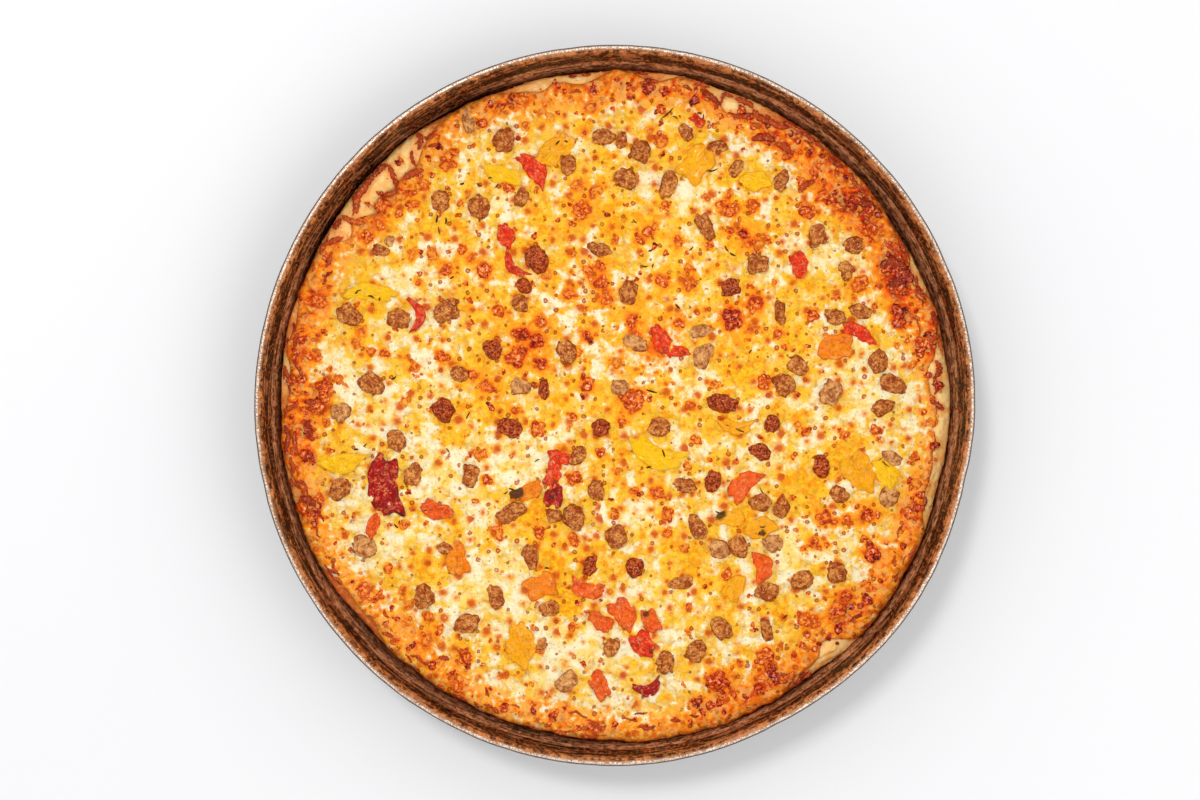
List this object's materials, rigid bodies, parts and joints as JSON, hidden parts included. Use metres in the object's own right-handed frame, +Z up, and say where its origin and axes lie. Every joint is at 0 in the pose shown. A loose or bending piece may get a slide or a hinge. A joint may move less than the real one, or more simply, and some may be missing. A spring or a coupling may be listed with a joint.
{
  "type": "deep dish pizza in its pan",
  "caption": "Uncut round deep dish pizza topped with chunks of sausage and roasted bell pepper, baked in its own flared metal pan with a rolled rim.",
  "frame": {"origin": "middle of the pan's flat underside, where it rests", "axes": "+Z up through the pizza; +X to the right and +Y away from the viewer, looking down on it"},
  "size_m": [0.4103, 0.4104, 0.05],
  "materials": {
    "pan": "bare metal under a baked-on coat of dark brown seasoning, worn bright on the rolled rim",
    "dough": "pale gold baked dough, matt",
    "cheese": "melted cheese, creamy to orange, browned at the rim, with a soft oily gloss",
    "sausage": "cooked ground sausage, grey-brown, with a slight fat sheen",
    "pepper_red": "roasted pepper skin, glossy",
    "pepper_dark_red": "roasted pepper skin, dark and glossy",
    "pepper_orange": "roasted pepper skin, glossy",
    "pepper_yellow": "roasted pepper skin, glossy"
  },
  "bodies": {
    "root": {"pan": "pan", "crust": "dough", "cheese": "cheese", "sausage_01": "sausage", "sausage_02": "sausage", "sausage_03": "sausage", "sausage_04": "sausage", "sausage_05": "sausage", "sausage_06": "sausage", "sausage_07": "sausage", "sausage_08": "sausage", "sausage_09": "sausage", "sausage_10": "sausage", "sausage_11": "sausage", "sausage_12": "sausage", "sausage_13": "sausage", "sausage_14": "sausage", "sausage_15": "sausage", "sausage_16": "sausage", "sausage_17": "sausage", "sausage_18": "sausage", "sausage_19": "sausage", "sausage_20": "sausage", "sausage_21": "sausage", "sausage_22": "sausage", "sausage_23": "sausage", "sausage_24": "sausage", "sausage_25": "sausage", "sausage_26": "sausage", "sausage_27": "sausage", "sausage_28": "sausage", "pepper_dark_red_bottom": "pepper_dark_red", "pepper_dark_red_large": "pepper_dark_red", "pepper_dark_red_middle": "pepper_dark_red", "pepper_orange_below_middle": "pepper_orange", "pepper_orange_charred": "pepper_orange", "pepper_orange_lower_left": "pepper_orange", "pepper_orange_lower_right": "pepper_orange", "pepper_orange_red_bottom": "pepper_orange", "pepper_orange_red_lower_right": "pepper_orange", "pepper_orange_red_lowest": "pepper_orange", "pepper_orange_red_right": "pepper_orange", "pepper_orange_right": "pepper_orange", "pepper_orange_strip": "pepper_orange", "pepper_orange_top": "pepper_orange", "pepper_orange_upper": "pepper_orange", "pepper_red_behind_orange": "pepper_red", "pepper_red_bottom": "pepper_red", "pepper_red_crescent": "pepper_red", "pepper_red_left_of_middle": "pepper_red", "pepper_red_right": "pepper_red", "pepper_red_top": "pepper_red", "pepper_red_upper_left": "pepper_red", "pepper_yellow_bottom": "pepper_yellow", "pepper_yellow_fold_left": "pepper_yellow", "pepper_yellow_fold_right": "pepper_yellow", "pepper_yellow_left": "pepper_yellow", "pepper_yellow_lower_left": "pepper_yellow", "pepper_yellow_middle": "pepper_yellow", "pepper_yellow_upper_right": "pepper_yellow"}
  },
  "joints": []
}
